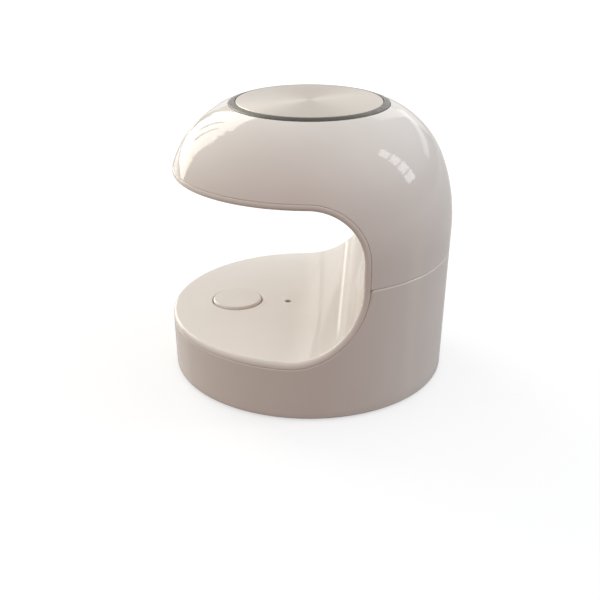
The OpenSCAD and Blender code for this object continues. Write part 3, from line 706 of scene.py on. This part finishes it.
# Clear acrylic, with the faint violet tint of a sheet made for these lamps.
window_clear = clear("clear_acrylic", "#f6f4fb", "#f0edf8", 0.03, 1.49)
piece("lamp_window_disc", glazing, window_clear, "window_clear", "lamp_window")


# Reflector: a thick disc with one smooth cup for each LED, moulded in bright white plastic.
# Three screws in deep seats hold it and the LED board up against the bosses of the head.
def drilled(bm, rim, holes):
    """Fills a flat face between its edge and the loops of its holes."""
    edges = [e for loop in [rim] + holes for e in loop_edges(bm, loop)]
    bmesh.ops.triangle_fill(bm, edges=edges, use_beauty=True)


def round_places(r, angles, y=0.0):
    """Places on a circle round an upright axis."""
    return [(r * math.cos(math.radians(a)), y + r * math.sin(math.radians(a))) for a in angles]


def bored(bm, loop, profile, x, y):
    """Draws a loop in along the wall of a round hole or post, by its profile of radius and height."""
    return sweep(bm, loop, [circle(r, z, len(loop), x, y) for r, z in profile])


lamp_high, cup_r, neck_r, rim_round = 73.0, 4.6, 3.0, 0.1
head_r, head_seat, shank_r = 2.2, 70.5, 1.1
led_ring_r, led_screw_ring_r = 10.5, 16.0
disc_steps, cup_steps, screw_steps = 128, 64, 32
led_places = [(0.0, window_y)] + round_places(led_ring_r, range(0, 360, 60), window_y)
led_screw_places = round_places(led_screw_ring_r, (30, 150, 270), window_y)
cup_profile = [(cup_r - 0.02, lamp_low + rim_round), (4.35, lamp_low + 0.5), (4.02, lamp_low + 1.5),
               (3.6, lamp_low + 3.0), (3.25, lamp_low + 4.2), (neck_r, lamp_high)]
seat_profile = [(head_r, lamp_low + rim_round), (head_r, head_seat), (shank_r, head_seat),
                (shank_r, lamp_high)]
cups = bmesh.new()
low_rim = ring(cups, circle(lamp_r, lamp_low, disc_steps, 0.0, window_y))
mouths = [ring(cups, circle(cup_r + rim_round, lamp_low, cup_steps, x, y)) for x, y in led_places]
seats = [ring(cups, circle(head_r + rim_round, lamp_low, screw_steps, x, y)) for x, y in led_screw_places]
drilled(cups, low_rim, mouths + seats)
high_rim = sweep(cups, low_rim, [circle(lamp_r, lamp_high, disc_steps, 0.0, window_y)])
necks = [bored(cups, mouth, cup_profile, *place) for mouth, place in zip(mouths, led_places)]
shanks = [bored(cups, seat, seat_profile, *place) for seat, place in zip(seats, led_screw_places)]
drilled(cups, high_rim, necks + shanks)
# Bright white polycarbonate, polished in the cups.
reflector_white = surface("reflector_polycarbonate", "#f6f4f1", "#f0ede9", 0.18, spot=6.0,
                          fixed={"IOR": 1.58})
piece("reflector_cups", cups, reflector_white, "reflector_white", "reflector")


# LED board and LEDs: an aluminium board with white solder mask carries seven surface-mounted LEDs.
# Each LED is a ceramic package with a small die under a clear silicone dome, and shines down through its cup.

# White solder mask, with the faint mottling of a printed coat.
mask_white = surface("white_solder_mask", "#eceae6", "#e0deda", 0.36, spot=3.0, grain=0.6)
finish_nodes(mask_white, "led_board")
led_w, led_t, led_edge, led_dome_r = 3.5, 0.9, 0.12, 1.5
die_w, die_t, die_edge = 1.3, 0.1, 0.03
led_face = lamp_high - led_t
packages, dies, domes = bmesh.new(), bmesh.new(), bmesh.new()
dome_arc = [(r, 2 * led_face - z) for r, z in rounded(0.0, led_face, led_dome_r, 90, 0, 10)]
for x, y in led_places:
    block(packages, (x, y, led_face + led_t / 2), (led_w, led_w, led_t))
    block(dies, (x, y, led_face - die_t / 2), (die_w, die_w, die_t))
    spun(domes, dome_arc + [(0.0, led_face)], x, y, steps=40)
soften(packages, led_edge, segments=2)
soften(dies, die_edge, segments=1)
# White alumina ceramic, matt.
ceramic = surface("alumina_ceramic", "#ebe8e2", "#dedad2", 0.5, spot=1.5, grain=0.3)
piece("led_packages", packages, ceramic, "led_lens", "led_chips")
# Bare semiconductor, violet-grey with a metal-like shine.
die_violet = surface("semiconductor_die", "#8a7f9e", "#6f6687", 0.2, spot=0.4, grain=0.2,
                     fixed={"Metallic": 0.6})
piece("led_dies", dies, die_violet, "led_lens", "led_chips")
# Clear silicone, with a soft skin.
dome_clear = clear("clear_silicone", "#f4f0fa", "#ece6f6", 0.06, 1.41)
piece("led_domes", domes, dome_clear, "led_lens", "led_chips")


# Screws: pan heads with a cross recess, in all the bosses inside and in the bottom cover.
# Zinc-plated steel; the cover's four show from below.

# Bright zinc plating, with the mottled shine of barrel-plated screws.
screw_steel = surface("zinc_plated_steel", "#c6c6c4", "#a8a9aa", 0.3, spot=1.2, grain=0.4, relief=0.004,
                      fixed={"Metallic": 1.0})
finish_nodes(screw_steel, "base_screws", "column_screws", "board_screws", "charge_screws", "led_screws")


# Top disc: a thin moulded disc with a metallised, spun face and a softly broken edge.
# Three moulded pegs press it into the head. The spun face fans the light out into bright wedges.
disc_face_r, disc_edge = 22.4, 0.4
peg_r, peg_root, peg_tip, peg_ring_r = 1.5, 0.1, 0.3, 16.0
disc_face = [(r, body_h) for r in (0.0, 6.0, 14.0, disc_face_r - disc_edge)]
broken_edge = rounded(disc_face_r - disc_edge, body_h - disc_edge, disc_edge, 90, 0)[1:]
disc = bmesh.new()
spun(disc, disc_face + broken_edge + [(disc_face_r, shelf_z), (0.0, shelf_z)], steps=192)
peg = [(0.0, shelf_z + peg_root), (peg_r, shelf_z + peg_root), (peg_r, ceiling_z + peg_tip),
       (peg_r - peg_tip, ceiling_z), (0.0, ceiling_z)]
for x, y in round_places(peg_ring_r, (90, 210, 330)):
    spun(disc, peg, x, y, steps=32)
# Metallised ABS with a spun finish: fine rings that spread a highlight along the radius.
# The real rings are about a tenth of a millimetre apart, and are drawn five times as coarse to show.
ring_spacing = 0.5
disc_silver, tree = blank("spun_metallised_abs")
where = add(tree, "ShaderNodeTexCoord").outputs["Object"]
flat = add(tree, "ShaderNodeVectorMath", {0: where, 1: (1.0, 1.0, 0.0)}, operation="MULTIPLY")
out = add(tree, "ShaderNodeVectorMath", {0: flat.outputs[0]}, operation="LENGTH").outputs["Value"]
lines = add(tree, "ShaderNodeTexNoise", {"W": out, "Scale": 1 / (ring_spacing * mm), "Detail": 2.0},
            noise_dimensions="1D").outputs["Fac"]
colour = add(tree, "ShaderNodeMix", {"Factor": lines, "A": linear("#bbb3aa"), "B": linear("#cbc3bb")},
             data_type="RGBA")
rough = add(tree, "ShaderNodeMapRange",
            {"Value": lines, "From Min": 0.3, "From Max": 0.7, "To Min": 0.3, "To Max": 0.4})
grooves = add(tree, "ShaderNodeBump", {"Height": lines, "Strength": 1.0, "Distance": 0.002 * mm})
around = add(tree, "ShaderNodeTangent", direction_type="RADIAL", axis="Z")
shader = add(tree, "ShaderNodeBsdfPrincipled",
             {"Base Color": colour.outputs["Result"], "Roughness": rough.outputs["Result"], "Metallic": 0.9,
              "Normal": grooves.outputs["Normal"], "Tangent": around.outputs["Tangent"], "Anisotropic": 0.7,
              "Anisotropic Rotation": 0.25})
add(tree, "ShaderNodeOutputMaterial", {"Surface": shader.outputs["BSDF"]})
piece("cap_disc_turned", disc, disc_silver, "disc_silver", "cap_disc")


# Trim ring: a narrow ring round the disc whose top follows the dome.
# Graphite-grey plated plastic, with both edges softly rounded, bedded on the shelf of the recess.
trim_round, trim_break, trim_sink = 0.15, 0.04, 0.01
trim_top = [disc_r + trim_round, disc_r + 0.6, disc_r + 1.0, disc_r + 1.4, ring_r - trim_round]
inner_side = [(disc_r, shelf_z), (disc_r, dome_z(disc_r) - trim_round),
              (disc_r + trim_break, dome_z(disc_r) - trim_break)]
top_face = [(r, dome_z(r) - trim_sink) for r in trim_top]
outer_side = [(ring_r - trim_break, dome_z(ring_r) - trim_break), (ring_r, dome_z(ring_r) - trim_round),
              (ring_r, shelf_z)]
trim = bmesh.new()
spun(trim, inner_side + top_face + outer_side + inner_side[:1], steps=192)
# Graphite plating over smooth plastic: a dark metal that mirrors the room softly.
trim_graphite = surface("graphite_plating", "#67635e", "#5a5651", 0.3, spot=4.0, grain=0.8, relief=0.002,
                        fixed={"Metallic": 1.0})
piece("trim_ring_band", trim, trim_graphite, "trim_graphite", "trim_ring")


# Bottom cover: a round plate of white ABS that closes the drum and is held by four screws.
# Sunk seats take the heads of the screws and the four feet.
# Two posts on its inner side carry the charging board.
plate_r, plate_low, plate_high, plate_round = 41.54, 0.6, 3.0, 0.4
foot_seat_r, foot_seat, foot_seat_round = 5.1, 1.5, 0.2
cover_seat, cover_seat_round = 2.0, 0.15
post_r, post_high, post_round, bore_end = 2.5, 8.0, 0.2, 2.5
foot_ring_r, cover_screw_ring_r = 31.0, 36.54
plate_steps, foot_steps, post_steps = 192, 64, 48
foot_places = round_places(foot_ring_r, (0, 90, 180, 270))
cover_screw_places = round_places(cover_screw_ring_r, (15, 165, 225, 315))
post_places = [(-7.0, 33.0), (7.0, 33.0)]
foot_seat_profile = [(foot_seat_r, plate_low + foot_seat_round), (foot_seat_r, foot_seat)]
cover_seat_profile = [(head_r, plate_low + cover_seat_round), (head_r, cover_seat), (shank_r, cover_seat),
                      (shank_r, plate_high)]
post_profile = [(post_r, post_high - post_round), (post_r - post_round, post_high), (shank_r, post_high),
                (shank_r, bore_end)]
cover = bmesh.new()
low_rim = ring(cover, circle(plate_r - plate_round, plate_low, plate_steps))
foot_seats = [ring(cover, circle(foot_seat_r + foot_seat_round, plate_low, foot_steps, x, y))
              for x, y in foot_places]
seats = [ring(cover, circle(head_r + cover_seat_round, plate_low, screw_steps, x, y))
         for x, y in cover_screw_places]
drilled(cover, low_rim, foot_seats + seats)
plate_edge = rounded(plate_r - plate_round, plate_low + plate_round, plate_round, -90, 0)[1:]
plate_edge.append((plate_r, plate_high))
high_rim = sweep(cover, low_rim, [circle(r, z, plate_steps) for r, z in plate_edge])
for seat, place in zip(foot_seats, foot_places):
    lid(cover, bored(cover, seat, foot_seat_profile, *place))
shanks = [bored(cover, seat, cover_seat_profile, *place) for seat, place in zip(seats, cover_screw_places)]
posts = [ring(cover, circle(post_r, plate_high, post_steps, x, y)) for x, y in post_places]
drilled(cover, high_rim, shanks + posts)
for post, place in zip(posts, post_places):
    lid(cover, bored(cover, post, post_profile, *place))
# White ABS with the fine matt texture that moulds give to bottoms.
base_white = surface("textured_white_abs", "#e6dfd7", "#dfd7ce", 0.45, spot=10.0, grain=0.35, relief=0.03,
                     fixed={"IOR": 1.52})
piece("bottom_cover", cover, base_white, "base_white", "base_plate")


# Feet: four soft round pads of grey silicone rubber, stuck into the seats of the bottom cover.
# Their lower edge is rounded, and they stand a little proud of the drum.
foot_r, foot_round = 5.0, 0.45
foot_face = [(0.0, 0.03), (1.4, 0.02), (2.8, 0.01), (4.4, 0.0)]
foot_edge = rounded(foot_r - foot_round, foot_round, foot_round, -70, 0)
feet = bmesh.new()
for x, y in foot_places:
    spun(feet, foot_face + foot_edge + [(foot_r, foot_seat), (0.0, foot_seat)], x, y, foot_steps)
# Grey silicone rubber, matt and faintly mottled.
foot_rubber = surface("silicone_rubber", "#8a8886", "#7a7876", 0.7, spot=1.5, grain=0.25, relief=0.012)
piece("silicone_feet", feet, foot_rubber, "foot_rubber", "rubber_feet")


# Table and room: a plain pale table in a plain room, both white behind the object.
# The table keeps the object's shadow, and lights the object as a warm, darker table would.
mirrored_share = 0.4


def shows_backdrop(tree):
    """How much of the white backdrop a ray shows: all of it straight on, and a part in gloss and glass.

    In full, it would wash out the edges of the white housings.
    """
    path = add(tree, "ShaderNodeLightPath").outputs
    mirrored = add(tree, "ShaderNodeMath", {0: path["Is Glossy Ray"], 1: path["Is Transmission Ray"]},
                   operation="MAXIMUM")
    part = add(tree, "ShaderNodeMath", {0: mirrored.outputs[0], 1: mirrored_share}, operation="MULTIPLY")
    shown = add(tree, "ShaderNodeMath", {0: part.outputs[0], 1: path["Is Camera Ray"]}, operation="MAXIMUM")
    return shown.outputs[0]


table_half = 4.0  # metres
table = bmesh.new()
bmesh.ops.create_grid(table, x_segments=1, y_segments=1, size=table_half)
table_mesh = bpy.data.meshes.new("table")
table.to_mesh(table_mesh)
table.free()
table_top = bpy.data.objects.new("table", table_mesh)
bpy.context.collection.objects.link(table_top)
# Pale paint under a painted glow that grows whiter away from the object, where the windows no longer light
# it.
# Other rays meet polished brown wood.
lit_reach, white_reach = 0.3, 1.0  # metres
lit_glow, white_glow = 0.61, 0.8
table_paint, tree = blank("pale_table_paint_and_glow")
where = add(tree, "ShaderNodeTexCoord").outputs["Object"]
far = add(tree, "ShaderNodeVectorMath", {0: where}, operation="LENGTH").outputs["Value"]
whiter = add(tree, "ShaderNodeMapRange", {"Value": far, "From Min": lit_reach, "From Max": white_reach,
                                          "To Min": lit_glow, "To Max": white_glow})
# Painted glow on the table, weaker near the object and stronger farther off.
glow = add(tree, "ShaderNodeEmission", {"Color": linear("#ffffff"), "Strength": whiter.outputs["Result"]})
pale = add(tree, "ShaderNodeBsdfDiffuse", {"Color": linear("#b3b3b3")})
paint = add(tree, "ShaderNodeAddShader", {0: pale.outputs[0], 1: glow.outputs[0]})
wood = add(tree, "ShaderNodeBsdfPrincipled", {"Base Color": linear("#59311c"), "Roughness": 0.15})
both = add(tree, "ShaderNodeMixShader", {0: shows_backdrop(tree), 1: wood.outputs[0], 2: paint.outputs[0]})
add(tree, "ShaderNodeOutputMaterial", {"Surface": both.outputs[0]})
table_mesh.materials.append(table_paint)

# The room is dim all round and grows lighter above the table, most of all to the left and the right.
# Front, back, left and right are as the camera sees them, here and for the windows.
dim_walls = (0.23, 0.22, 0.19)
ceiling_light = (0.24, 0.25, 0.25)
left_light = (0.66, 0.78, 0.88)
right_light = (0.95, 1.15, 1.35)
front_light = (0.3, 0.06, 0.0)
full_height = 0.5
room = bpy.data.worlds.new("room")
room.use_nodes = True
tree = room.node_tree
tree.nodes.clear()
toward = add(tree, "ShaderNodeTexCoord").outputs["Generated"]
ahead = add(tree, "ShaderNodeVectorMath", {0: toward, 1: (0.0, 0.0, 0.0)}, operation="MAXIMUM")
front, right, up = add(tree, "ShaderNodeSeparateXYZ", {"Vector": ahead.outputs[0]}).outputs
reverse = add(tree, "ShaderNodeVectorMath", {0: toward, "Scale": -1.0}, operation="SCALE")
away = add(tree, "ShaderNodeVectorMath", {0: reverse.outputs[0], 1: (0.0, 0.0, 0.0)}, operation="MAXIMUM")
left = add(tree, "ShaderNodeSeparateXYZ", {"Vector": away.outputs[0]}).outputs["Y"]
high = add(tree, "ShaderNodeMapRange", {"Value": up, "From Min": 0.0, "From Max": full_height},
           interpolation_type="SMOOTHSTEP")
walls = dim_walls
for share, tint in ((up, ceiling_light), (left, left_light), (right, right_light), (front, front_light)):
    height = add(tree, "ShaderNodeMath", {0: share, 1: high.outputs[0]}, operation="MULTIPLY")
    part = add(tree, "ShaderNodeVectorMath", {0: tint, "Scale": height.outputs[0]}, operation="SCALE")
    walls = add(tree, "ShaderNodeVectorMath", {0: walls, 1: part.outputs[0]}, operation="ADD").outputs[0]
backdrop = add(tree, "ShaderNodeMix", {"Factor": shows_backdrop(tree), "A": walls, "B": linear("#ffffff")},
               data_type="RGBA")
light = add(tree, "ShaderNodeBackground", {"Color": backdrop.outputs["Result"], "Strength": 1.0})
add(tree, "ShaderNodeOutputWorld", {"Surface": light.outputs[0]})
bpy.context.scene.world = room


# Windows: soft daylight from a tall window on the left, two dim ones and a sill behind, and two on the right.
# Each pane is an area lamp, so that the glossy housings show the panes and the bars between them.
# A softbox on the left lights the drum's own front and isn't mirrored.
lit_point = Vector((0, 0, 45)) * mm


def window(name, panes, radiance, colour, distance=1.2, mirrored=True):
    """Panes that face the object, each by two azimuths (from +Y towards +X) and two elevations.

    Their distance from the object is in metres.
    """
    for number, (left, right, low, high) in enumerate(panes):
        a, e = math.radians((left + right) / 2), math.radians((low + high) / 2)
        towards = Vector((math.sin(a) * math.cos(e), math.cos(a) * math.cos(e), math.sin(e)))
        lamp = bpy.data.lights.new(f"{name}_{number}", "AREA")
        lamp.shape = "RECTANGLE"
        lamp.size = 2 * distance * math.tan(math.radians(abs(right - left) / 2)) * math.cos(e)
        lamp.size_y = 2 * distance * math.tan(math.radians((high - low) / 2))
        lamp.energy = radiance * math.pi * lamp.size * lamp.size_y
        lamp.color = colour
        pane = bpy.data.objects.new(lamp.name, lamp)
        pane.location = lit_point + towards * distance
        pane.rotation_euler = (-towards).to_track_quat("-Z", "Y").to_euler()
        pane.visible_camera = False
        pane.visible_glossy = mirrored
        bpy.context.collection.objects.link(pane)


arched_top = [(-116, -150, 33, 36.5), (-116, -147, 36.5, 40.5), (-116, -142, 40.5, 45)]
middle_row = [(-116, -127.4, 14, 33), (-129.6, -134.9, 14, 33), (-137.1, -152, 14, 33)]
low_row = [(-118.5, -153, -1, 14)]
window("left_window", arched_top + middle_row + low_row, 3.1, (1.0, 0.97, 0.87))
window("left_softbox", [(-153, -205, -1, 12)], 3.0, (1.0, 0.92, 0.78), mirrored=False)
window("back_window", [(-66, -113, 16.4, 42)], 0.7, (1.0, 0.97, 0.92))
window("low_back_window", [(-66, -113, 2, 14.8)], 0.5, (1.0, 0.96, 0.98))
window("back_sill", [(-106, -117, -2.5, -0.5)], 1.6, (1.0, 0.97, 0.9), distance=0.6)
pane_lows, pane_height = (41, 32, 23, 14), 7.5
window("right_window", [(-13, -2, low, low + pane_height) for low in pane_lows], 3.6, (0.95, 1.0, 1.0))
window("far_window", [(-40, -75, 11, 17)], 0.8, (1.0, 0.98, 0.96))


# Camera: at the photograph's viewing angle, a little above the head and from the lamp's side.
# Nothing is out of focus.
camera = bpy.data.cameras.new("camera")
camera.lens = 56.47
camera.sensor_width = 36.0
camera_object = bpy.data.objects.new("camera", camera)
camera_object.location = Vector((282.74, 19.77, 148.97)) * mm
aim = Vector((0.20, -2.80, 19.54)) * mm
camera_object.rotation_euler = (aim - camera_object.location).to_track_quat("-Z", "Y").to_euler()
bpy.context.collection.objects.link(camera_object)
bpy.context.scene.camera = camera_object
bpy.context.scene.view_settings.view_transform = "Standard"
